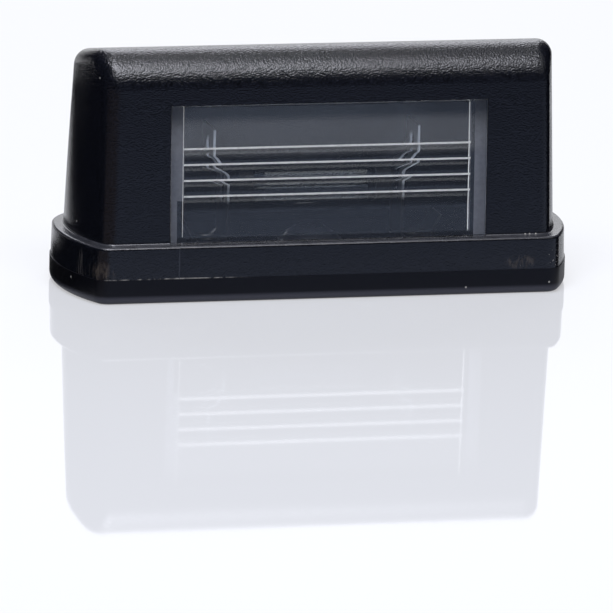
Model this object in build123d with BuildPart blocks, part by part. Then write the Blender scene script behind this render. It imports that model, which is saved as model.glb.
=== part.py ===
"""Number plate lamp: a moulded hood with a clear window, standing on a rubber base gasket.

Millimetres. X runs along the lamp, the window faces -Y, Z is up. The origin is the middle of the foot.
"""

import os
from math import cos, radians, tan

from build123d import *

# Overall
length = 104.0  # foot flange, along X
depth = 37.0  # foot flange, along Y
end_radius = 38.5  # bow of each end
end_y = 1.5  # where the bowed ends reach furthest
gasket_height = 5.0
flange_height = 6.5

# Cover moulding
wall = 2.2
flange_wall = 3.0  # around the base plate
front_radius = 3.2  # upright front corners
rear_radius = 12.0  # upright rear corners
flange_draft = 1.5  # degrees
flange_edge = 0.6  # rounding of the flange's upper edge
ledge = 2.3  # flat step from the flange to the hood
ledge_fillet = 0.4
hood_draft = 2.5  # degrees, front wall
end_draft = 2.1  # degrees
rear_draft = 7.0  # degrees
hood_edge = 3.3  # rounding up the front corners and round the ends and rear of the roof
hood_crown = 7.5  # rounding along the front of the roof
roof_height = 39.7  # from the ledge to the roof's front edge, before rounding
rear_height = 34.35  # from the ledge to the roof's rear edge, before rounding

# Window and lens
window_side = 19.7  # from the flange's end to the window
window_head = 12.0  # from the roof's front edge, before rounding, down to the window
lens_clearance = 0.1
lens_overlap = 3.0  # lens frame behind the cover's wall
lens_tongue = 2.4  # lens frame below the ledge
frame_thickness = 2.0
frame_border = 3.05  # lens frame inside the window's sides
frame_rail = 0.8  # lens frame inside the window's top and bottom
ridge_count = 4
ridge_pitch = 3.18
ridge_drop = 9.05  # from the window's top to the first ridge
ridge_face = 0.45  # height of a ridge's steep upper face
ridge_reach = 0.5  # from the lens plate in to a ridge's tip
ridge_tail = 1.7  # height of the hollow that runs out from a ridge's tip

# Base plate
plate_thickness = 3.0
plate_clearance = 0.15
pocket_radius = 1.5  # front corners of the base plate's seat
fixing_inset = 14.0  # from the flange's end to a fixing hole
fixing_hole = 5.5
boss_diameter = 11.0
boss_height = 4.0
rib_width = 1.5
rib_height = 2.5
rib_offset = 9.5  # from the middle to a rib, along Y
lug_length = 8.0
lug_height = 1.2
lug_reach = 0.7
lug_lift = 1.2  # from the plate's underside to a lug
lug_clearance = 0.2
lug_inset = 22.0  # from the flange's end to a lug

# Base gasket
gasket_proud = 0.2  # beyond the flange, all round
gasket_edge = 1.4  # rounding of the lower edge
gasket_opening_length = 46.0
gasket_opening_depth = 19.0
gasket_opening_radius = 6.0
seal_groove_inset = 3.5
seal_groove_width = 1.5
seal_groove_depth = 1.2

# Festoon bulb
bulb_length = 36.0
bulb_y = 1.5
bulb_lift = 12.5  # axis above the base plate
glass_diameter = 10.5
glass_wall = 0.5
neck_diameter = 7.2
neck_length = 2.6
shoulder_length = 2.0
cap_wall = 0.5
cap_clearance = 0.05
skirt_gap = 0.2  # from a cap's rim to the glass shoulder
cone_length = 2.4
cone_tip = 2.6  # diameter at the tip
lead_diameter = 0.4
coil_diameter = 0.8
coil_length = 12.0

# Contact blades
contact_thickness = 0.5
contact_width = 9.4
contact_height = 23.75
contact_bend = 0.8  # inside radius of the bends
contact_shank = 14.5  # straight part that grips the bulb
contact_flare = 3.0  # step out towards the top
contact_slope = 4.6  # height of that step
foot_length = 6.0
tab_reach = 2.4
tab_rise = 5.0
tab_width = 6.3
slot_width = 3.3
slot_bridge = 2.0  # metal left over the slot
slot_depth = 12.5
grip_clearance = 0.02

# Rivets and grommet
rivet_shank = 2.4
rivet_head = 4.2
rivet_head_height = 1.0
rivet_chamfer = 0.5
rivet_foot = 4.6
rivet_foot_height = 0.8
grommet_y = 1.5
grommet_seat = 10.0
grommet_flange = 13.0
grommet_flange_height = 1.5
grommet_bore = 5.6
grommet_nose = 1.4

# Heights worked out from the sizes above
seat_z = gasket_height
plate_top = seat_z + plate_thickness
ledge_z = seat_z + flange_height
hood_foot = plate_top - wall
roof_z = ledge_z + roof_height
rear_z = ledge_z + rear_height
window_top = roof_z - window_head
bulb_z = plate_top + bulb_lift
draft_slope = tan(radians(hood_draft))
wall_y = wall / cos(radians(hood_draft))
hood_inset = flange_height * tan(radians(flange_draft)) + ledge
window_half = length / 2 - window_side
fixing_x = length / 2 - fixing_inset
plate_inset = flange_wall + plate_clearance
plate_depth = depth - 2 * plate_inset

# Where the bulb's parts end, and where a contact grips its cone
cone_start = bulb_length / 2 - cone_length
glass_end = cone_start - cap_wall
neck_start = glass_end - neck_length
shoulder_start = neck_start - shoulder_length
cap_radius = neck_diameter / 2 + cap_clearance + cap_wall
grip_share = (cap_radius - slot_width / 2 + grip_clearance) / (cap_radius - cone_tip / 2)
grip_x = cone_start + grip_share * cone_length
rivet_x = grip_x + contact_thickness + foot_length / 2
tab_start = grip_x + contact_thickness + foot_length

# Places of what repeats
rivet_places = [(side * rivet_x, bulb_y) for side in (-1, 1)]
lug_places = [(sx * (length / 2 - lug_inset), sy * plate_depth / 2) for sx in (-1, 1) for sy in (-1, 1)]
rise = (Align.CENTER, Align.CENTER, Align.MIN)


def front_y(z):
    """Outer front face of the hood at a height."""
    return hood_inset - depth / 2 + (z - ledge_z) * draft_slope


def back_y(z):
    """Inner face of the hood's front wall at a height."""
    return front_y(z) + wall_y


def rear_y(z):
    """Outer rear face of the hood at a height."""
    return depth / 2 - hood_inset - (z - ledge_z) * tan(radians(rear_draft))


def bowed_ends(inset):
    """Draws a broad outline with the lamp's bowed ends, stepped in from the flange's."""
    with Locations((0, end_y)):
        SlotCenterToCenter(length - 2 * end_radius, 2 * (end_radius - inset))


def bowed_outline(inset, corner):
    """Draws the flange's outline, stepped in, with front corners of that radius."""
    bowed_ends(inset)
    Rectangle(2 * length, depth - 2 * inset, mode=Mode.INTERSECT)
    fillet(vertices().group_by(Axis.Y)[-1], rear_radius - inset)
    fillet(vertices().group_by(Axis.Y)[0], corner)


def hood_section():
    """Draws the hood's section from its foot inside the flange up to the sloping roof."""
    Polygon(
        (front_y(hood_foot), hood_foot),
        (front_y(roof_z), roof_z),
        (rear_y(rear_z), rear_z),
        (rear_y(hood_foot), hood_foot),
        align=None,
    )
    fillet(vertices().sort_by(Axis.Y)[-1], hood_crown)


def end_step(z):
    """Distance from the flange's end in to the hood's outer end face at a height."""
    return hood_inset + (z - ledge_z) * tan(radians(end_draft))


def rear_corners():
    """Upright edges between the hood's bowed ends and its rear wall."""
    return [end.edges().sort_by(Axis.Y)[-1] for end in faces().filter_by(GeomType.CONE)]


def wall_slice(z_low, z_high, t_low, t_high):
    """Draws a slice along the front wall, between two heights and two depths from its outer face."""
    Polygon(
        (front_y(z_low) + t_low, z_low),
        (front_y(z_high) + t_low, z_high),
        (front_y(z_high) + t_high, z_high),
        (front_y(z_low) + t_high, z_low),
        align=None,
    )


# Hood: its section run along X, with bowed ends and rounded edges, and the space inside it
with BuildPart() as hood:
    with BuildSketch(Plane.YZ):
        hood_section()
    extrude(amount=length / 2, both=True)
    with BuildSketch(Plane.XY.offset(hood_foot)):
        bowed_ends(end_step(hood_foot))
    extrude(amount=2 * roof_height, taper=end_draft, mode=Mode.INTERSECT)
    fillet(rear_corners(), rear_radius - hood_inset)
    flat_faces = hood.faces().filter_by(GeomType.PLANE)
    roof_rim = flat_faces.sort_by(Axis.Z)[-1].edges().sort_by(Axis.Y)[1:]
    front_wall = flat_faces.sort_by(Axis.Y)[0]
    crown = hood.faces().filter_by(GeomType.CYLINDER).sort_by(Axis.Y)[0]
    for face in (front_wall, crown):
        along = face.edges().sort_by(Axis.X)
        roof_rim += [along[0], along[-1]]
    fillet(roof_rim, hood_edge)

with BuildPart() as hood_space:
    with BuildSketch(Plane.YZ):
        hood_section()
        offset(amount=-wall)
    extrude(amount=length / 2, both=True)
    with BuildSketch(Plane.XY.offset(plate_top)):
        bowed_ends(end_step(plate_top) + wall)
    extrude(amount=2 * roof_height, taper=end_draft, mode=Mode.INTERSECT)
    fillet(rear_corners(), rear_radius - hood_inset - wall)

# Cover: drafted flange with the hood on it, hollow inside, the window cut down to the ledge
with BuildPart() as cover:
    with BuildSketch(Plane.XY.offset(seat_z)):
        bowed_outline(0, front_radius)
    extrude(amount=flange_height, taper=flange_draft)
    fillet(cover.faces().sort_by(Axis.Z)[-1].edges(), flange_edge)
    add(hood.part)
    ledge_face = cover.faces().filter_by(Axis.Z).sort_by(Axis.Z)[-1]
    fillet(ledge_face.inner_wires()[0].edges(), ledge_fillet)
    add(hood_space.part, mode=Mode.SUBTRACT)
    with BuildSketch(Plane.XY.offset(seat_z)):
        bowed_outline(flange_wall, pocket_radius)
    extrude(amount=plate_thickness, mode=Mode.SUBTRACT)
    with BuildSketch(Plane.XZ.offset(depth)):
        with Locations((0, ledge_z)):
            Rectangle(2 * window_half, window_top - ledge_z, align=(Align.CENTER, Align.MIN))
    extrude(amount=-depth, mode=Mode.SUBTRACT)
    with Locations(*[(x, y, seat_z + lug_lift) for x, y in lug_places]):
        Box(
            lug_length + 2 * lug_clearance,
            2 * (lug_reach + lug_clearance),
            lug_height + lug_clearance,
            align=rise,
            mode=Mode.SUBTRACT,
        )

# Lens: a plate flush with the hood, a frame behind the wall and saw-toothed ridges on the inner face
with BuildPart() as lens:
    with BuildSketch(Plane.YZ):
        wall_slice(ledge_z, window_top - lens_clearance, 0, wall_y)
    extrude(amount=window_half - lens_clearance, both=True)
    with BuildSketch(Plane.YZ):
        wall_slice(ledge_z - lens_tongue, window_top + lens_overlap, wall_y, wall_y + frame_thickness)
    extrude(amount=window_half + lens_overlap, both=True)
    with BuildSketch(Plane.YZ):
        wall_slice(ledge_z + frame_rail, window_top - frame_rail, wall_y, wall_y + frame_thickness)
    extrude(amount=window_half - frame_border, both=True, mode=Mode.SUBTRACT)
    with BuildSketch(Plane.YZ):
        for i in range(ridge_count):
            ridge_top = window_top - ridge_drop - i * ridge_pitch + ridge_face / 2
            tip_z = ridge_top - ridge_face
            tail_z = tip_z - ridge_tail
            tip = (back_y(tip_z) + ridge_reach, tip_z)
            tail = (back_y(tail_z), tail_z)
            with BuildLine():
                TangentArc(tail, tip, tangent=(draft_slope, 1))
                Polyline(
                    tip,
                    (back_y(ridge_top), ridge_top),
                    (front_y(ridge_top) + wall_y / 2, ridge_top),
                    (front_y(tail_z) + wall_y / 2, tail_z),
                    tail,
                )
            make_face()
    extrude(amount=window_half - frame_border, both=True)

# Base plate: floor of the lamp, snapped into the flange
with BuildPart() as base_plate:
    with BuildSketch(Plane.XY.offset(seat_z)):
        bowed_outline(plate_inset, pocket_radius - plate_clearance)
    extrude(amount=plate_thickness)
    with Locations(*[(x, y, seat_z + lug_lift) for x, y in lug_places]):
        Box(lug_length, 2 * lug_reach, lug_height, align=rise)
    with Locations((fixing_x, 0, plate_top), (-fixing_x, 0, plate_top)):
        Cylinder(boss_diameter / 2, boss_height, align=rise)
    with Locations((0, rib_offset, plate_top), (0, -rib_offset, plate_top)):
        Box(2 * fixing_x, rib_width, rib_height, align=rise)
    with Locations((fixing_x, 0, plate_top + boss_height), (-fixing_x, 0, plate_top + boss_height)):
        Hole(fixing_hole / 2)
    with Locations((0, grommet_y, plate_top)):
        Hole(grommet_seat / 2)
    with Locations(*[Location((x, y, seat_z), (180, 0, 0)) for x, y in rivet_places]):
        CounterBoreHole(rivet_shank / 2, rivet_foot / 2, rivet_foot_height)

# Base gasket: rubber pad with a rounded foot and a sealing groove underneath
with BuildPart() as base_gasket:
    with BuildSketch():
        bowed_outline(-gasket_proud, front_radius + gasket_proud)
    extrude(amount=gasket_height)
    fillet(base_gasket.faces().sort_by(Axis.Z)[0].edges(), gasket_edge)
    with BuildSketch():
        RectangleRounded(gasket_opening_length, gasket_opening_depth, gasket_opening_radius)
    extrude(amount=gasket_height, mode=Mode.SUBTRACT)
    with BuildSketch():
        bowed_outline(seal_groove_inset - gasket_proud, pocket_radius)
        offset(amount=-seal_groove_width, mode=Mode.SUBTRACT)
    extrude(amount=seal_groove_depth, mode=Mode.SUBTRACT)
    with Locations((fixing_x, 0, gasket_height), (-fixing_x, 0, gasket_height)):
        Hole(fixing_hole / 2)

# Festoon bulb, turned about an axis along X
bulb_plane = Plane(origin=(0, bulb_y, bulb_z), x_dir=(1, 0, 0), z_dir=(0, -1, 0))
bulb_axis = Axis((0, bulb_y, bulb_z), (1, 0, 0))
with BuildPart() as bulb_glass:
    for inset, mode in ((0, Mode.ADD), (glass_wall, Mode.SUBTRACT)):
        with BuildSketch(bulb_plane):
            with BuildLine():
                Polyline(
                    (-glass_end, 0),
                    (-glass_end, neck_diameter / 2 - inset),
                    (-neck_start, neck_diameter / 2 - inset),
                    (-shoulder_start, glass_diameter / 2 - inset),
                    (shoulder_start, glass_diameter / 2 - inset),
                    (neck_start, neck_diameter / 2 - inset),
                    (glass_end, neck_diameter / 2 - inset),
                    (glass_end, 0),
                    close=True,
                )
            make_face()
        revolve(axis=bulb_axis, mode=mode)

with BuildPart() as bulb_cap_right:
    with BuildSketch(bulb_plane):
        with BuildLine():
            Polyline(
                (neck_start + skirt_gap, neck_diameter / 2 + cap_clearance),
                (neck_start + skirt_gap, cap_radius),
                (cone_start, cap_radius),
                (bulb_length / 2, cone_tip / 2),
                (bulb_length / 2, 0),
                (glass_end, 0),
                (glass_end, neck_diameter / 2 + cap_clearance),
                close=True,
            )
        make_face()
    revolve(axis=bulb_axis)

with BuildPart() as bulb_cap_left:
    mirror(bulb_cap_right.part, about=Plane.YZ)

with BuildPart() as bulb_filament:
    with BuildSketch(bulb_plane):
        with Locations((0, lead_diameter / 4)):
            Rectangle(2 * glass_end, lead_diameter / 2)
        with Locations((0, coil_diameter / 4)):
            Rectangle(coil_length, coil_diameter / 2)
    revolve(axis=bulb_axis)

# Contacts: bent strips that grip the bulb's cones in their slots and flare out above it
with BuildPart() as contact_right:
    with BuildSketch(Plane.XZ.offset(-bulb_y)):
        with BuildLine():
            FilletPolyline(
                (tab_start + tab_reach, plate_top + tab_rise),
                (tab_start, plate_top),
                (grip_x, plate_top),
                (grip_x, plate_top + contact_shank),
                (grip_x + contact_flare, plate_top + contact_shank + contact_slope),
                (grip_x + contact_flare, plate_top + contact_height),
                radius=contact_bend + contact_thickness,
            )
            offset(amount=contact_thickness, side=Side.RIGHT)
        make_face()
    extrude(amount=contact_width / 2, both=True)
    with BuildSketch(Plane.YZ):
        with Locations((bulb_y, plate_top + contact_height - slot_bridge - slot_depth / 2)):
            SlotOverall(slot_depth, slot_width, rotation=90)
    extrude(amount=length / 2, mode=Mode.SUBTRACT)
    with BuildSketch(Plane.XY.offset(plate_top)):
        for side in (-1, 1):
            with Locations((tab_start, bulb_y + side * contact_width / 2)):
                Rectangle(contact_width, contact_width - tab_width, align=(Align.MIN, Align.CENTER))
    extrude(amount=tab_rise + contact_thickness, mode=Mode.SUBTRACT)
    with Locations((rivet_x, bulb_y, plate_top + contact_thickness)):
        Hole(rivet_shank / 2, depth=contact_thickness)

with BuildPart() as contact_left:
    mirror(contact_right.part, about=Plane.YZ)

with BuildPart() as contact_rivets:
    with Locations(*[(x, y, seat_z) for x, y in rivet_places]):
        Cylinder(rivet_shank / 2, plate_thickness + contact_thickness + rivet_head_height, align=rise)
        Cylinder(rivet_foot / 2, rivet_foot_height, align=rise)
    with Locations(*[(x, y, plate_top + contact_thickness) for x, y in rivet_places]):
        Cylinder(rivet_head / 2, rivet_head_height, align=rise)
    chamfer(contact_rivets.edges().group_by(Axis.Z)[-1], rivet_chamfer)

# Cable grommet: rubber ring seated in the base plate
grommet_plane = Plane(origin=(0, grommet_y, 0), x_dir=(1, 0, 0), z_dir=(0, -1, 0))
with BuildPart() as cable_grommet:
    with BuildSketch(grommet_plane):
        with BuildLine():
            Polyline(
                (grommet_bore / 2, seat_z - grommet_flange_height),
                (grommet_flange / 2, seat_z - grommet_flange_height),
                (grommet_flange / 2, seat_z),
                (grommet_seat / 2, seat_z),
                (grommet_seat / 2, plate_top),
                (grommet_flange / 2, plate_top),
                (grommet_flange / 2 - grommet_flange_height, plate_top + grommet_flange_height),
                (grommet_bore / 2, plate_top + grommet_flange_height + grommet_nose),
                close=True,
            )
        make_face()
    revolve(axis=Axis((0, grommet_y, 0), (0, 0, 1)))

pieces = {
    "cover": cover,
    "lens": lens,
    "base_plate": base_plate,
    "base_gasket": base_gasket,
    "contact_left": contact_left,
    "contact_right": contact_right,
    "contact_rivets": contact_rivets,
    "bulb_glass": bulb_glass,
    "bulb_cap_left": bulb_cap_left,
    "bulb_cap_right": bulb_cap_right,
    "bulb_filament": bulb_filament,
    "cable_grommet": cable_grommet,
}
os.makedirs("parts", exist_ok=True)
for name, piece in pieces.items():
    piece.part.label = name
    export_step(piece.part, f"parts/{name}.step")
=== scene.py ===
"""Number plate lamp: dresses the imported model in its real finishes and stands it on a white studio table.

Metres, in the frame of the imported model: X along the lamp, the window faces -Y, Z is up from the foot.
Places and sizes inside a material are in millimetres.
"""

from math import cos, radians, sin

import bmesh
import bpy
from bpy.props import FloatProperty, FloatVectorProperty, PointerProperty
from mathutils import Matrix, Vector


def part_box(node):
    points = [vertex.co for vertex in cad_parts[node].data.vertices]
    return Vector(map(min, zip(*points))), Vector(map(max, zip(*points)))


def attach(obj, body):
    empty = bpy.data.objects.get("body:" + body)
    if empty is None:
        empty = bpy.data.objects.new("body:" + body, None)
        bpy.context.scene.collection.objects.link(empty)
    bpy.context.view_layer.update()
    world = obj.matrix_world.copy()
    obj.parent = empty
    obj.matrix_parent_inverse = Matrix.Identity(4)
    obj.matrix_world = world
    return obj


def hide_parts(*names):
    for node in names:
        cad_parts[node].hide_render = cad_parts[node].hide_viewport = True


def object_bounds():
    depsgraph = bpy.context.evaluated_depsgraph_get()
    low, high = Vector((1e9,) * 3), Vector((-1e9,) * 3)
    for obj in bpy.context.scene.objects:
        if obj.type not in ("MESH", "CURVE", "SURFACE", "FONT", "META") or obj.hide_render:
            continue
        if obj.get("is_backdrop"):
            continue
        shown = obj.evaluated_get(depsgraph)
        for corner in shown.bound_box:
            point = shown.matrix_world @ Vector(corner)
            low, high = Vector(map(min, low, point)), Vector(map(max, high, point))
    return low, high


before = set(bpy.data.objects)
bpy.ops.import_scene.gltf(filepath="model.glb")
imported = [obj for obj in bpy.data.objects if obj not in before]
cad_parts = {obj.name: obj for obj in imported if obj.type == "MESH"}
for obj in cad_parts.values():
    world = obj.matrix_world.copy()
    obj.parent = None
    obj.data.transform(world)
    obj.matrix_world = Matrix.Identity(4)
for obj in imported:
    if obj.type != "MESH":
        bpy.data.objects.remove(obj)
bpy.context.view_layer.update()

bl_info = {
    "name": "Number plate lamp",
    "version": (1, 0, 0),
    "blender": (4, 5, 0),
    "location": "View3D > Sidebar > Lamp",
    "description": "Dresses the packed number plate lamp and sets its studio stage",
    "category": "Object",
}

MM = 0.001
PHOTO_SIZE = 613  # pixels, each way
SENSOR = 36.0  # millimetres, Blender's usual sensor width
WHOLE = 400.0  # millimetres, a reach that takes in the whole lamp

# Sockets of a Mix node that mixes colours
FACTOR = 0
BELOW = 6
ABOVE = 7
MIXED = 2


def linear(text):
    """Turns an sRGB hex colour into linear red, green and blue."""
    parts = [int(text[i : i + 2], 16) / 255 for i in (0, 2, 4)]
    return tuple(c / 12.92 if c <= 0.04045 else ((c + 0.055) / 1.055) ** 2.4 for c in parts)


def opaque(colour):
    """A linear colour with full alpha, as sockets take it."""
    return (*colour, 1.0)


def add_node(tree, kind, inputs=None, **settings):
    """Adds a node, sets its properties, and sets or links its inputs."""
    added = tree.nodes.new(kind)
    for name, value in settings.items():
        setattr(added, name, value)
    for name, value in (inputs or {}).items():
        if isinstance(value, bpy.types.NodeSocket):
            tree.links.new(value, added.inputs[name])
        else:
            added.inputs[name].default_value = value
    return added


def new_material(name):
    """Starts an empty material and returns it with its tree and its place in millimetres."""
    material = bpy.data.materials.new(name)
    material.use_nodes = True
    tree = material.node_tree
    tree.nodes.clear()
    place = add_node(tree, "ShaderNodeTexCoord").outputs["Object"]
    scaled = add_node(tree, "ShaderNodeVectorMath", {0: place, "Scale": 1 / MM}, operation="SCALE")
    return material, tree, scaled.outputs["Vector"]


class LampFinish(bpy.types.PropertyGroup):
    """Colours of the lamp's finishes."""

    abs_colour: FloatVectorProperty(
        name="Cover plastic", description="Colour of the grain's peaks on the cover and base",
        subtype="COLOR", min=0.0, max=1.0, default=linear("14161E"),
    )
    rubber_colour: FloatVectorProperty(
        name="Rubber", description="Body colour of the gasket and the cable grommet",
        subtype="COLOR", min=0.0, max=1.0, default=linear("0B0C13"),
    )
    lens_colour: FloatVectorProperty(
        name="Lens", description="Tint of the clear lens",
        subtype="COLOR", min=0.0, max=1.0, default=linear("FAFCFC"),
    )
    nickel_colour: FloatVectorProperty(
        name="Nickel plate", description="Colour of the plated contacts",
        subtype="COLOR", min=0.0, max=1.0, default=linear("EEF2F6"),
    )
    # Tin plate drawn near black: painted shade of the lamp's dark inside
    tin_colour_painted_dark: FloatVectorProperty(
        name="Tin plate", description="Colour of the dull bulb caps and rivets",
        subtype="COLOR", min=0.0, max=1.0, default=linear("2C2C2C"),
    )
    tungsten_colour: FloatVectorProperty(
        name="Filament", description="Colour of the filament wire",
        subtype="COLOR", min=0.0, max=1.0, default=linear("3E3E42"),
    )


class LampStage(bpy.types.PropertyGroup):
    """Camera, table and lights."""

    azimuth: FloatProperty(
        name="Azimuth", description="Turn of the view to the lamp's left",
        subtype="ANGLE", default=radians(13.435),
    )
    elevation: FloatProperty(
        name="Elevation", description="Height of the view above the table",
        subtype="ANGLE", default=radians(13.2),
    )
    roll: FloatProperty(
        name="Roll", description="Tilt of the picture",
        subtype="ANGLE", default=radians(1.435),
    )
    distance: FloatProperty(
        name="Distance", description="From the camera to the point that it looks at",
        unit="LENGTH", default=1.583,
    )
    pixels_per_mm: FloatProperty(
        name="Scale", description="Pixels of the photo for a millimetre at that distance",
        default=4.9845,
    )
    aim: FloatVectorProperty(
        name="Aim", description="Point in the middle of the picture",
        subtype="XYZ", unit="LENGTH", default=(-1.54 * MM, -5.05 * MM, -4.59 * MM),
    )
    table_colour: FloatVectorProperty(
        name="Table", description="Colour of the white acrylic table",
        subtype="COLOR", min=0.0, max=1.0, default=linear("8E9196"),
    )
    table_front: FloatProperty(
        name="Table front", description="From the lamp to the table's front edge",
        unit="LENGTH", default=0.7,
    )
    flag_front: FloatProperty(
        name="Front flag", description="From the lamp to the black flag in front",
        unit="LENGTH", default=0.33,
    )
    table_glow: FloatProperty(
        name="Table glow", description="Share of white that the table shows in its own shadows",
        default=0.465,
    )
    front_light: FloatProperty(
        name="Front softbox", description="Power of the softbox above the front",
        unit="POWER", default=2.6,
    )
    left_light: FloatProperty(
        name="Left softbox", description="Power of the softbox above the left corner",
        unit="POWER", default=0.7,
    )
    back_light: FloatProperty(
        name="Back softbox", description="Power of the softbox behind the lamp",
        unit="POWER", default=7.6,
    )
    daylight: FloatProperty(
        name="Room light", description="Strength of the white room on matt surfaces",
        default=0.42,
    )


def patch(tree, place, centre, reach):
    """Mask of an ellipsoid, whole to 0.6 of its reach each way and fading out at its full reach."""
    away = add_node(tree, "ShaderNodeVectorMath", {0: place, 1: centre}, operation="SUBTRACT")
    share = add_node(tree, "ShaderNodeVectorMath", {0: away.outputs[0], 1: reach}, operation="DIVIDE")
    length = add_node(tree, "ShaderNodeVectorMath", {0: share.outputs[0]}, operation="LENGTH")
    mask = add_node(tree, "ShaderNodeMapRange", {
        "Value": length.outputs["Value"], "From Min": 1.0, "From Max": 0.6
    })
    return mask.outputs[0]


def patches(tree, place, places):
    """One mask for several patches, each given as its centre and reach."""
    masks = [patch(tree, place, centre, reach) for centre, reach in places]
    total = masks[0]
    for mask in masks[1:]:
        total = add_node(tree, "ShaderNodeMath", {0: total, 1: mask}, operation="MAXIMUM").outputs[0]
    return total


def specks(places, size):
    """Small round marks of one size, as places for patches."""
    return [(place, (size, size, size)) for place in places]


def broken(tree, mask, place, marks_per_mm, low, high):
    """Breaks a mask up with noise that has so many marks to a millimetre each way.

    The mask is bare where the noise is under low, and whole where it is over high.
    """
    stretched = add_node(tree, "ShaderNodeVectorMath", {0: place, 1: marks_per_mm}, operation="MULTIPLY")
    noise = add_node(tree, "ShaderNodeTexNoise", {
        "Vector": stretched.outputs[0], "Scale": 1.0, "Detail": 3.0
    })
    cut = add_node(tree, "ShaderNodeMapRange", {
        "Value": noise.outputs["Fac"], "From Min": low, "From Max": high
    })
    return add_node(tree, "ShaderNodeMath", {0: mask, 1: cut.outputs[0]}, operation="MULTIPLY").outputs[0]


def marked(tree, colour, marks):
    """Lays marks over a colour in turn, each given as its mask and its sRGB hex colour."""
    for mask, mark_colour in marks:
        laid = add_node(tree, "ShaderNodeMix", {
            FACTOR: mask, BELOW: colour, ABOVE: opaque(linear(mark_colour))
        }, data_type="RGBA")
        colour = laid.outputs[MIXED]
    return colour


def cover_marks(tree, place):
    """Dust, wear and a painted sheen of the cover, in the order in which they lie: the mask and the colour of
    each.
    """
    # Lighter grey broken up along the ledge between the flange and the hood: partly dust, partly a painted
    # sheen of the light from above
    ledge = patch(tree, place, (0, 0, 11.5), (WHOLE, WHOLE, 0.3))
    dust = broken(tree, ledge, place, (0.4, 0.4, 0.4), 0.2, 0.5)
    # Upright scratches at the flange's left corner
    left_corner = patch(tree, place, (-48.6, -14.0, 7.4), (4.0, 5.0, 5.0))
    scratches = broken(tree, left_corner, place, (2.4, 2.4, 0.12), 0.55, 0.66)
    # A scuff near each end of the flange's front, and specks at its right end
    scuffed = patches(tree, place, [
        ((-46.0, -17.4, 6.4), (2.9, 2.6, 2.6)),
        ((39.0, -18.5, 6.5), (3.4, 1.5, 1.6)),
    ])
    scuffs = broken(tree, scuffed, place, (1.5, 1.5, 0.5), 0.42, 0.78)
    right_end = patch(tree, place, (46.6, -17.6, 7.0), (2.6, 2.6, 3.2))
    speckles = broken(tree, right_end, place, (3.0, 3.0, 3.0), 0.64, 0.7)
    # A burr worn bright along the flange's lower edge, and the mould's witness line up its front
    lower_edge = patch(tree, place, (-33.0, -18.5, 5.02), (17.0, 0.6, 0.26))
    burr = broken(tree, lower_edge, place, (0.9, 0.5, 0.5), 0.4, 0.62)
    witness = patch(tree, place, (-30.75, -18.4, 8.0), (0.16, 1.0, 4.2))
    # Single grains of dust on the crown's left corner, the hood's left end and the ledge
    dots = patches(tree, place, [
        *specks([(-46.0, -11.0, 44.4), (-48.9, -4.8, 14.2)], 0.24),
        *specks([(40.4, -16.1, 11.7), (41.3, -16.1, 11.7), (42.6, -16.1, 11.7)], 0.2),
    ])
    return [
        # the ledge's grey is partly dust and partly a painted sheen
        (dust, "323338"),
        (scratches, "4E4B4A"),
        (scuffs, "4A433E"),
        (burr, "8E8C88"),
        (witness, "2A2C33"),
        (speckles, "A09D98"),
        (dots, "8E8C88"),
    ]


def moulded_abs():
    """ABS injection moulded in a spark-eroded mould: near black, its highlights broken up by a fine grain."""
    finish = bpy.context.scene.lamp_finish
    material, tree, place = new_material("abs_moulded_grain")
    # The grain is about 0.1 mm on the real moulding, drawn coarser so that its sparkle shows
    grain_mm = 0.3
    grain = add_node(tree, "ShaderNodeTexNoise", {"Vector": place, "Scale": 1 / grain_mm, "Detail": 0.0})
    # It is drawn deepest on the crown, where it sparkles most, and shallow on the calmer walls
    wall_top = 41.0
    crown_edge = 45.0
    height = add_node(tree, "ShaderNodeSeparateXYZ", {"Vector": place}).outputs["Z"]
    deep = add_node(tree, "ShaderNodeMapRange", {
        "Value": height, "From Min": wall_top, "From Max": crown_edge, "To Min": 0.35, "To Max": 1.0
    })
    bump = add_node(tree, "ShaderNodeBump", {
        "Strength": deep.outputs[0], "Distance": 0.09 * MM, "Height": grain.outputs["Fac"]
    })
    # Broad clouds where the mould's polish differs a little
    cloud_mm = 9.0
    cloud = add_node(tree, "ShaderNodeTexNoise", {"Vector": place, "Scale": 1 / cloud_mm, "Detail": 2.0})
    rough = add_node(tree, "ShaderNodeMapRange", {
        "Value": cloud.outputs["Fac"], "To Min": 0.19, "To Max": 0.25
    })
    peaks = add_node(tree, "ShaderNodeMapRange", {
        "Value": grain.outputs["Fac"], "From Min": 0.3, "From Max": 0.7
    })
    grained = add_node(tree, "ShaderNodeMix", {
        FACTOR: peaks.outputs[0], BELOW: opaque(linear("06070C")), ABOVE: opaque(finish.abs_colour)
    }, data_type="RGBA")
    shader = add_node(tree, "ShaderNodeBsdfPrincipled", {
        "Base Color": marked(tree, grained.outputs[MIXED], cover_marks(tree, place)),
        "Roughness": rough.outputs[0],
        "IOR": 1.5,
        "Normal": bump.outputs[0],
    })
    add_node(tree, "ShaderNodeOutputMaterial", {"Surface": shader.outputs[0]})
    return material


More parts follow.
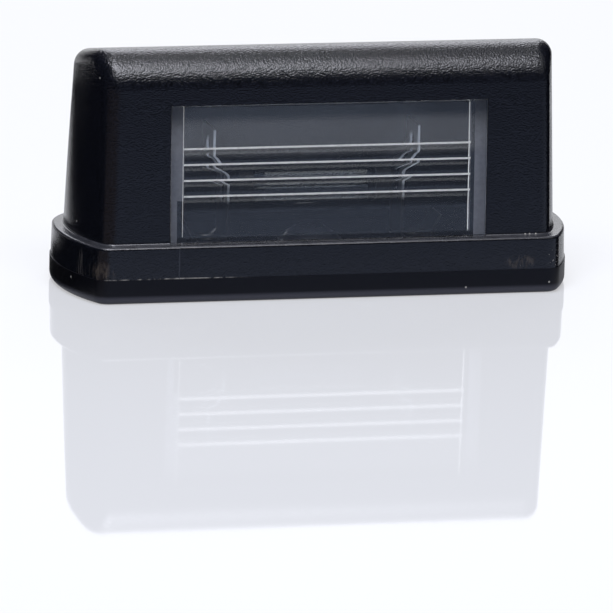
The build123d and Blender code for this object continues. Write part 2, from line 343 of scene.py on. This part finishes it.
def moulded_rubber():
    """EPDM rubber, press moulded: a dull black skin, with a painted reflection of the white table as a
    lighter grey along its rounded foot.
    """
    finish = bpy.context.scene.lamp_finish
    material, tree, place = new_material("epdm_rubber_moulded")
    skin_mm = 0.6
    skin = add_node(tree, "ShaderNodeTexNoise", {"Vector": place, "Scale": 1 / skin_mm, "Detail": 4.0})
    bump = add_node(tree, "ShaderNodeBump", {
        "Strength": 0.6, "Distance": 0.03 * MM, "Height": skin.outputs["Fac"]
    })
    rough = add_node(tree, "ShaderNodeMapRange", {
        "Value": skin.outputs["Fac"], "To Min": 0.38, "To Max": 0.5
    })
    # Painted reflection of the white table: lighter grey towards the bottom of the foot's rounding. A few
    # grains of dust above
    painted_reflection_from = 1.9
    painted_reflection_full_at = 0.9
    height = add_node(tree, "ShaderNodeSeparateXYZ", {"Vector": place}).outputs["Z"]
    foot = add_node(tree, "ShaderNodeMapRange", {
        "Value": height, "From Min": painted_reflection_from, "From Max": painted_reflection_full_at
    })
    dots = patches(tree, place, specks([(45.0, -18.7, 2.3), (27.8, -18.7, 1.7), (-50.7, -9.1, 3.9)], 0.24))
    # The foot's grey is a painted reflection; the dots are dust
    colour = marked(tree, opaque(finish.rubber_colour), [(foot.outputs[0], "484953"), (dots, "A4A29E")])
    shader = add_node(tree, "ShaderNodeBsdfPrincipled", {
        "Base Color": colour,
        "Roughness": rough.outputs[0],
        "IOR": 1.52,
        "Specular IOR Level": 0.22,
        "Normal": bump.outputs[0],
    })
    add_node(tree, "ShaderNodeOutputMaterial", {"Surface": shader.outputs[0]})
    return material


def polished_polycarbonate():
    """Polycarbonate from a polished mould: clear and glossy, with a film of dust and a few scratches."""
    finish = bpy.context.scene.lamp_finish
    material, tree, place = new_material("polycarbonate_polished")
    peel_mm = 2.5
    peel = add_node(tree, "ShaderNodeTexNoise", {"Vector": place, "Scale": 1 / peel_mm, "Detail": 1.0})
    bump = add_node(tree, "ShaderNodeBump", {
        "Strength": 0.1, "Distance": 0.02 * MM, "Height": peel.outputs["Fac"]
    })
    # A thin film of dust across the lens, between its top edge and its first ridge
    film = patch(tree, place, (0, -15.0, 32.6), (WHOLE, WHOLE, 4.4))
    clear = add_node(tree, "ShaderNodeMapRange", {"Value": film, "To Min": 1.0, "To Max": 0.967}).outputs[0]
    # Short scratches low on its front: the middle of each, its half length and its slope
    for centre, half, slope in (
        ((-25.1, -16.0, 13.2), 0.9, 0.0),
        ((-23.5, -16.0, 14.0), 1.3, radians(43)),
        ((-8.8, -16.0, 13.2), 0.9, radians(55)),
        ((-9.5, -16.0, 11.8), 0.5, radians(70)),
    ):
        turned = add_node(tree, "ShaderNodeVectorRotate", {
            "Vector": place, "Center": centre, "Angle": slope
        }, rotation_type="Y_AXIS")
        scratch = patch(tree, turned.outputs[0], centre, (half, 0.6, 0.15))
        dulled = add_node(tree, "ShaderNodeMapRange", {"Value": scratch, "To Min": 1.0, "To Max": 0.85})
        both = add_node(tree, "ShaderNodeMath", {0: clear, 1: dulled.outputs[0]}, operation="MULTIPLY")
        clear = both.outputs[0]
    shader = add_node(tree, "ShaderNodeBsdfPrincipled", {
        "Base Color": opaque(finish.lens_colour),
        "Roughness": 0.03,
        "IOR": 1.58,
        "Transmission Weight": clear,
        "Normal": bump.outputs[0],
    })
    add_node(tree, "ShaderNodeOutputMaterial", {"Surface": shader.outputs[0]})
    return material


def ground_polycarbonate(name, colour, low, high, glow):
    """Polycarbonate left as the mould was milled: a frosted face, mottled by the cutter's marks.

    Its glow is painted light, standing in for light that the clear lens leads to the face.
    """
    material, tree, place = new_material(name)
    marks_mm = 0.9
    marks = add_node(tree, "ShaderNodeTexNoise", {"Vector": place, "Scale": 1 / marks_mm, "Detail": 3.0})
    shade = add_node(tree, "ShaderNodeMapRange", {
        "Value": marks.outputs["Fac"], "From Min": 0.3, "From Max": 0.7, "To Min": low, "To Max": high
    })
    tone = add_node(tree, "ShaderNodeMix", {
        FACTOR: shade.outputs[0], BELOW: opaque(linear("000000")), ABOVE: opaque(linear(colour))
    }, data_type="RGBA").outputs[MIXED]
    shader = add_node(tree, "ShaderNodeBsdfPrincipled", {
        "Base Color": tone,
        "Roughness": 0.6,
        "IOR": 1.58,
        "Emission Color": tone,
        "Emission Strength": glow,
    })
    add_node(tree, "ShaderNodeOutputMaterial", {"Surface": shader.outputs[0]})
    return material


def plated_brass(name, colour, roughness):
    """Plated brass, pressed from strip: a grey metal with rolling lines, drawn dark near the base as painted
    shade.
    """
    material, tree, place = new_material(name)
    lines_per_mm = (1.0, 6.0, 0.4)
    stretched = add_node(tree, "ShaderNodeVectorMath", {0: place, 1: lines_per_mm}, operation="MULTIPLY")
    lines = add_node(tree, "ShaderNodeTexNoise", {
        "Vector": stretched.outputs[0], "Scale": 1.0, "Detail": 3.0
    })
    rough = add_node(tree, "ShaderNodeMapRange", {
        "Value": lines.outputs["Fac"], "To Min": roughness - 0.06, "To Max": roughness + 0.08
    })
    bump = add_node(tree, "ShaderNodeBump", {
        "Strength": 0.15, "Distance": 0.02 * MM, "Height": lines.outputs["Fac"]
    })
    # Painted shade: the metal turns dark towards the base, inside the lamp
    painted_shade_to = 17.0
    bright_from = 26.0
    height = add_node(tree, "ShaderNodeSeparateXYZ", {"Vector": place}).outputs["Z"]
    bright = add_node(tree, "ShaderNodeMapRange", {
        "Value": height, "From Min": painted_shade_to, "From Max": bright_from
    })
    tone = add_node(tree, "ShaderNodeMix", {
        FACTOR: bright.outputs[0], BELOW: opaque(linear("2E2D2C")), ABOVE: opaque(colour)
    }, data_type="RGBA")
    shader = add_node(tree, "ShaderNodeBsdfPrincipled", {
        "Base Color": tone.outputs[MIXED],
        "Metallic": 1.0,
        "Roughness": rough.outputs[0],
        "Normal": bump.outputs[0],
    })
    add_node(tree, "ShaderNodeOutputMaterial", {"Surface": shader.outputs[0]})
    return material


def blown_glass():
    """Soda-lime glass, blown thin: clear, with the faint waves of a drawn tube."""
    material, tree, place = new_material("soda_lime_glass_blown")
    wave_mm = 4.0
    waves = add_node(tree, "ShaderNodeTexNoise", {"Vector": place, "Scale": 1 / wave_mm, "Detail": 1.0})
    bump = add_node(tree, "ShaderNodeBump", {
        "Strength": 0.15, "Distance": 0.03 * MM, "Height": waves.outputs["Fac"]
    })
    shader = add_node(tree, "ShaderNodeBsdfPrincipled", {
        "Base Color": opaque(linear("FCFEFE")),
        "Roughness": 0.01,
        "IOR": 1.52,
        "Transmission Weight": 1.0,
        "Normal": bump.outputs[0],
    })
    add_node(tree, "ShaderNodeOutputMaterial", {"Surface": shader.outputs[0]})
    return material


def coiled_tungsten():
    """Tungsten wire, drawn and close coiled: a grey rod crossed by the coil's fine turns."""
    finish = bpy.context.scene.lamp_finish
    material, tree, place = new_material("tungsten_wire_coiled")
    turn_mm = 0.25
    turns = add_node(tree, "ShaderNodeTexWave", {
        "Vector": place, "Scale": 0.5 / turn_mm, "Distortion": 0.3
    }, bands_direction="X")
    bump = add_node(tree, "ShaderNodeBump", {
        "Strength": 0.8, "Distance": 0.1 * MM, "Height": turns.outputs["Fac"]
    })
    shader = add_node(tree, "ShaderNodeBsdfPrincipled", {
        "Base Color": opaque(finish.tungsten_colour),
        "Metallic": 1.0,
        "Roughness": 0.6,
        "Normal": bump.outputs[0],
    })
    add_node(tree, "ShaderNodeOutputMaterial", {"Surface": shader.outputs[0]})
    return material


def seen(tree):
    """One for rays from the camera, reflections and clear pieces, none for the light on matt surfaces."""
    ray = add_node(tree, "ShaderNodeLightPath")
    total = ray.outputs["Is Camera Ray"]
    for kind in ("Is Glossy Ray", "Is Transmission Ray"):
        either = add_node(tree, "ShaderNodeMath", {0: total, 1: ray.outputs[kind]}, operation="MAXIMUM")
        total = either.outputs[0]
    return total


def one_sided(tree, shader):
    """Leaves a surface clear from behind."""
    side = add_node(tree, "ShaderNodeNewGeometry")
    clear = add_node(tree, "ShaderNodeBsdfTransparent")
    return add_node(tree, "ShaderNodeMixShader", {
        0: side.outputs["Backfacing"], 1: shader.outputs[0], 2: clear.outputs[0]
    })


def white_acrylic():
    """Cast white acrylic sheet: a white body under a clear polish that mirrors what stands on it.

    It is clear from behind, so that the lamp can be seen from below.
    """
    stage = bpy.context.scene.lamp_stage
    material, tree, place = new_material("acrylic_white_polished")
    haze_mm = 60.0
    haze = add_node(tree, "ShaderNodeTexNoise", {"Vector": place, "Scale": 1 / haze_mm, "Detail": 2.0})
    rough = add_node(tree, "ShaderNodeMapRange", {
        "Value": haze.outputs["Fac"], "To Min": 0.02, "To Max": 0.04
    })
    glow = add_node(tree, "ShaderNodeMapRange", {"Value": seen(tree), "To Max": stage.table_glow})
    shader = add_node(tree, "ShaderNodeBsdfPrincipled", {
        "Base Color": opaque(stage.table_colour),
        "Roughness": rough.outputs[0],
        "IOR": 1.49,
        "Emission Color": opaque(linear("F9F9FB")),
        "Emission Strength": glow.outputs[0],
    })
    add_node(tree, "ShaderNodeOutputMaterial", {"Surface": one_sided(tree, shader).outputs[0]})
    return material


def flag_cloth(name, colour):
    """Woven flag cloth: a dull face that darkens what mirrors it. It is clear from behind."""
    material, tree = new_material(name)[:2]
    face = add_node(tree, "ShaderNodeBsdfDiffuse", {"Color": opaque(linear(colour))})
    add_node(tree, "ShaderNodeOutputMaterial", {"Surface": one_sided(tree, face).outputs[0]})
    return material


def dress(node_name, material):
    """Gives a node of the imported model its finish."""
    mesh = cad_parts[node_name].data
    mesh.materials.clear()
    mesh.materials.append(material)


def sheet(name, corners, material):
    """A flat four-cornered piece of the stage."""
    mesh = bpy.data.meshes.new(name)
    mesh.from_pydata(corners, [], [(0, 1, 2, 3)])
    mesh.materials.append(material)
    made = bpy.data.objects.new(name, mesh)
    bpy.context.scene.collection.objects.link(made)
    made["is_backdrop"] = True
    return made


def softbox(name, place, target, width, height, power):
    """An area lamp that faces a point."""
    light = bpy.data.lights.new(name, "AREA")
    light.shape = "RECTANGLE"
    light.size = width
    light.size_y = height
    light.energy = power
    light.color = linear("F4F5FF")
    made = bpy.data.objects.new(name, light)
    bpy.context.scene.collection.objects.link(made)
    made.location = place
    made.rotation_euler = (Vector(target) - Vector(place)).to_track_quat("-Z", "Y").to_euler()
    made.visible_camera = False
    made.visible_transmission = False
    return made


class LAMP_OT_cover(bpy.types.Operator):
    """Dresses the moulded cover and the base plate."""

    bl_idname = "lamp.cover"
    bl_label = "Cover and base plate"

    def execute(self, context):
        plastic = moulded_abs()
        dress("cover", plastic)
        dress("base_plate", plastic)
        return {"FINISHED"}


class LAMP_OT_rubber(bpy.types.Operator):
    """Dresses the base gasket and the cable grommet."""

    bl_idname = "lamp.rubber"
    bl_label = "Gasket and grommet"

    def execute(self, context):
        rubber = moulded_rubber()
        dress("base_gasket", rubber)
        dress("cable_grommet", rubber)
        return {"FINISHED"}


class LAMP_OT_lens(bpy.types.Operator):
    """Copies the clear lens with its front edge eased, and dresses it."""

    bl_idname = "lamp.lens"
    bl_label = "Lens"

    edge = 0.15 * MM  # easing of the front edge
    rim = 6.05 * MM  # the frame's width, its part behind the wall included
    gap = 1.1 * MM  # polished strip along the frame's opening, at the right and low at the left
    step = 19.5 * MM  # height where that strip ends at the left
    lip = 0.8 * MM  # ground part of the opening's side walls, at the back
    wall_reach = 0.3 * MM  # most that the middle of a side wall lies from the opening's side
    weld = 0.001 * MM  # points as near as this are one
    flat = radians(0.5)  # faces that turn less than this are one
    sharp = radians(25)  # edges that turn less than this are shaded round
    along = 0.9  # a face looks along an axis where its normal has more than this share of it
    ridge_up = (0.6, 0.9)  # share of up in the normal of a ridge's steep face
    ridge_rear = 0.3  # least share of rear in it
    ground_rim = 1  # places in the mesh's list of materials
    # the ridges' material, which glows with painted light
    ground_ridge = 2

    def execute(self, context):
        shape = bmesh.new()
        shape.from_mesh(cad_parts["lens"].data)
        self.ease(shape)
        low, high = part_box("lens")
        back = max(
            (face for face in shape.faces if face.normal.y > self.along),
            key=lambda face: face.calc_center_median().dot(face.normal),
        )
        across = back.normal.copy()
        behind = back.calc_center_median() - self.lip * across
        left = low[0] + self.rim
        right = high[0] - self.rim
        self.cut(shape, left, right, behind, across)
        self.sort_faces(shape, left, right, behind, across)
        mesh = bpy.data.meshes.new("lens_clear")
        shape.to_mesh(mesh)
        shape.free()
        if "custom_normal" in mesh.attributes:
            mesh.attributes.remove(mesh.attributes["custom_normal"])
        mesh.materials.append(polished_polycarbonate())
        mesh.materials.append(ground_polycarbonate("polycarbonate_ground_rim", "6E7179", 0.6, 0.8, 0.0))
        # The ridges and the backs of the side walls glow: painted light, standing in for light that the lens
        # leads to them
        mesh.materials.append(ground_polycarbonate("polycarbonate_ground_ridge_painted_glow", "FFFFFF", 0.7, 1.0, 0.35))
        made = bpy.data.objects.new("lens_clear", mesh)
        context.scene.collection.objects.link(made)
        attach(made, "root")
        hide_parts("lens")
        made.visible_shadow = False
        return {"FINISHED"}

    def ease(self, shape):
        """Joins the flat faces and rounds the outline of the front."""
        bmesh.ops.remove_doubles(shape, verts=shape.verts, dist=self.weld)
        bmesh.ops.dissolve_limit(shape, angle_limit=self.flat, verts=shape.verts, edges=shape.edges)
        front = max(
            (face for face in shape.faces if face.normal.y < -self.along),
            key=lambda face: face.calc_area(),
        )
        bmesh.ops.bevel(
            shape, geom=front.edges[:], offset=self.edge, segments=2, profile=0.5, affect="EDGES"
        )

    def cut(self, shape, left, right, behind, across):
        """Cuts the faces along the lines where a ground finish ends."""
        cuts = [
            (behind, across),
            ((left - self.gap, 0, 0), (1, 0, 0)),
            ((left, 0, 0), (1, 0, 0)),
            ((right, 0, 0), (1, 0, 0)),
            ((right + self.gap, 0, 0), (1, 0, 0)),
            ((0, 0, self.step), (0, 0, 1)),
        ]
        for place, normal in cuts:
            everything = shape.verts[:] + shape.edges[:] + shape.faces[:]
            bmesh.ops.bisect_plane(shape, geom=everything, dist=self.weld, plane_co=place, plane_no=normal)

    def sort_faces(self, shape, left, right, behind, across):
        """Marks the ground faces, giving the ridges and the backs of the side walls the material with a
        painted glow, and rounds the shading across all but the sharp edges.
        """
        least_up, most_up = self.ridge_up
        for face in shape.faces:
            face.smooth = True
            middle = face.calc_center_median()
            steep = least_up < face.normal.z < most_up and face.normal.y > self.ridge_rear
            at_side = min(abs(middle.x - left), abs(right - middle.x)) < self.wall_reach
            at_back = (middle - behind).dot(across) > 0
            wide = middle.x < left and middle.z > self.step
            frosted = wide or not left - self.gap < middle.x < right + self.gap
            if steep and left < middle.x < right:
                face.material_index = self.ground_ridge
            elif abs(face.normal.x) > self.along and at_side and at_back:
                face.material_index = self.ground_ridge
            elif face.normal.y > self.along and frosted:
                face.material_index = self.ground_rim
        for edge in shape.edges:
            edge.smooth = edge.calc_face_angle(0.0) < self.sharp


class LAMP_OT_contacts(bpy.types.Operator):
    """Dresses the contact blades and their rivets."""

    bl_idname = "lamp.contacts"
    bl_label = "Contacts and rivets"

    def execute(self, context):
        finish = context.scene.lamp_finish
        plated = plated_brass("brass_nickel_plated", finish.nickel_colour, 0.5)
        dress("contact_left", plated)
        dress("contact_right", plated)
        # The rivets' near-black tin is painted shade
        dress("contact_rivets", plated_brass("brass_rivet_tin_plated", finish.tin_colour_painted_dark, 0.45))
        return {"FINISHED"}


class LAMP_OT_bulb(bpy.types.Operator):
    """Dresses the festoon bulb."""

    bl_idname = "lamp.bulb"
    bl_label = "Festoon bulb"

    def execute(self, context):
        # The caps' near-black tin is painted shade
        caps = plated_brass("brass_cap_tin_plated", context.scene.lamp_finish.tin_colour_painted_dark, 0.6)
        dress("bulb_cap_left", caps)
        dress("bulb_cap_right", caps)
        dress("bulb_glass", blown_glass())
        dress("bulb_filament", coiled_tungsten())
        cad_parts["bulb_glass"].visible_shadow = False
        return {"FINISHED"}


class LAMP_OT_stage(bpy.types.Operator):
    """Builds the table, flags, lights, white room and camera."""

    bl_idname = "lamp.stage"
    bl_label = "Studio stage"

    def execute(self, context):
        stage = context.scene.lamp_stage
        self.table(stage)
        self.lights(stage)
        self.room(context.scene, stage)
        self.camera(context.scene, stage)
        context.scene.view_settings.view_transform = "Standard"
        return {"FINISHED"}

    def table(self, stage):
        """White table, with flags and cards around the lamp that only reflections and clear pieces show."""
        low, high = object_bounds()
        half = 1.5
        back = 2.5
        below_foot = -0.02 * MM
        self.card("table", -half, -stage.table_front, half, back, below_foot, white_acrylic())
        black = flag_cloth("flag_cloth_black", "050506")
        grey = flag_cloth("flag_cloth_grey", "7C8698")
        brown = flag_cloth("flag_cloth_brown", "6A605A")
        pale = flag_cloth("flag_cloth_pale_grey", "9AA3B4")
        # Lines that the flags stand on
        front = -stage.flag_front
        left = low[0] - 0.25
        right = high[0] + 0.25
        behind = 0.45
        # Lines where the cards meet, and their height
        near = low[1] - 0.003
        middle = low[1] - 0.045
        end_front = -0.02
        end_back = 0.04
        lift = 0.3 * MM
        flags = [
            self.flag("flag_front", (half, front), (-half, front), 0, 0.255, black),
            self.card("card_near", low[0], middle, half, near, lift, pale),
            self.flag("flag_left", (left, front), (left, 0.35), 0, 0.5, black),
            self.flag("flag_right", (right, 0.5), (right, -0.1), 0, 0.7, black),
            self.flag("flag_back", (-0.8, behind), (-0.09, behind), 0.035, 1.2, black),
            self.card("card_far", low[0], front, half, middle, lift, grey),
            self.card("card_left_front", left, front, low[0], end_front, lift, brown),
            self.card("card_left", left, end_front, low[0], end_back, lift, black),
            sheet("card_right", [
                (high[0] + 0.004, end_front, lift),
                (high[0] + 0.6, end_front, lift),
                (high[0] + 0.6, behind, lift),
                (high[0] + 0.3, behind, lift),
            ], black),
            self.card("card_left_back", left, end_back, low[0] - 0.0175, high[1] + 0.3, lift, black),
        ]
        for flag in flags:
            flag.visible_camera = False
            flag.visible_diffuse = False
            flag.visible_shadow = False

    def card(self, name, x0, y0, x1, y1, z, material):
        """A level piece that faces up: the table, or a card on it."""
        return sheet(name, [(x0, y0, z), (x1, y0, z), (x1, y1, z), (x0, y1, z)], material)

    def flag(self, name, start, end, bottom, top, material):
        """An upright piece that faces right, as seen along the table from its start to its end."""
        return sheet(name, [(*start, bottom), (*end, bottom), (*end, top), (*start, top)], material)

    def lights(self, stage):
        """Three softboxes: one above the front, a narrow one above the left corner and one behind."""
        middle = (0, 0, 0.03)
        left_corner = (-0.043, -0.012, 0.048)
        softbox("softbox_front", (-0.06, -0.275, 0.49), middle, 0.4, 0.22, stage.front_light)
        softbox("softbox_left", (-0.088, -0.122, 0.533), left_corner, 0.08, 0.3, stage.left_light)
        softbox("softbox_back", (0.17, 1.02, 0.714), middle, 1.53, 0.68, stage.back_light)

    def room(self, scene, stage):
        """White room for the camera, reflections and clear pieces, and a softer level for matt surfaces."""
        world = bpy.data.worlds.new("white_room")
        world.use_nodes = True
        tree = world.node_tree
        tree.nodes.clear()
        level = add_node(tree, "ShaderNodeMapRange", {
            "Value": seen(tree), "To Min": stage.daylight, "To Max": 1.0
        })
        white = add_node(tree, "ShaderNodeBackground", {
            "Color": opaque(linear("F9FAFC")), "Strength": level.outputs[0]
        })
        add_node(tree, "ShaderNodeOutputWorld", {"Surface": white.outputs[0]})
        scene.world = world

    def camera(self, scene, stage):
        """Long lens at the photo's viewing angle."""
        forward = Vector((
            sin(stage.azimuth) * cos(stage.elevation),
            cos(stage.azimuth) * cos(stage.elevation),
            -sin(stage.elevation),
        ))
        level = Vector((cos(stage.azimuth), -sin(stage.azimuth), 0))
        upright = level.cross(forward)
        right = cos(stage.roll) * level + sin(stage.roll) * upright
        up = right.cross(forward)
        lens = bpy.data.cameras.new("camera")
        lens.sensor_width = SENSOR
        lens.lens = stage.pixels_per_mm / MM * stage.distance * SENSOR / PHOTO_SIZE
        made = bpy.data.objects.new("camera", lens)
        scene.collection.objects.link(made)
        turn = Matrix((right, up, -forward)).transposed().to_4x4()
        made.matrix_world = Matrix.Translation(Vector(stage.aim) - stage.distance * forward) @ turn
        scene.camera = made


class LAMP_PT_sidebar(bpy.types.Panel):
    """Lists the lamp's pieces and stage."""

    bl_idname = "LAMP_PT_sidebar"
    bl_label = "Number plate lamp"
    bl_space_type = "VIEW_3D"
    bl_region_type = "UI"
    bl_category = "Lamp"

    def draw(self, context):
        for operator in OPERATORS:
            self.layout.operator(operator.bl_idname)
        for group in (context.scene.lamp_finish, context.scene.lamp_stage):
            for name in group.__annotations__:
                self.layout.prop(group, name)


OPERATORS = (LAMP_OT_cover, LAMP_OT_rubber, LAMP_OT_lens, LAMP_OT_contacts, LAMP_OT_bulb, LAMP_OT_stage)
CLASSES = (LampFinish, LampStage, *OPERATORS, LAMP_PT_sidebar)


def register():
    """Registers the classes and hangs the settings on the scene."""
    for cls in CLASSES:
        bpy.utils.register_class(cls)
    bpy.types.Scene.lamp_finish = PointerProperty(type=LampFinish)
    bpy.types.Scene.lamp_stage = PointerProperty(type=LampStage)


def unregister():
    """Takes the settings and the classes away again."""
    del bpy.types.Scene.lamp_stage
    del bpy.types.Scene.lamp_finish
    for cls in reversed(CLASSES):
        bpy.utils.unregister_class(cls)


def main():
    """Registers the classes, dresses each piece and sets the stage."""
    register()
    bpy.ops.lamp.cover()
    bpy.ops.lamp.rubber()
    bpy.ops.lamp.lens()
    bpy.ops.lamp.contacts()
    bpy.ops.lamp.bulb()
    bpy.ops.lamp.stage()


if __name__ == "__main__":
    main()
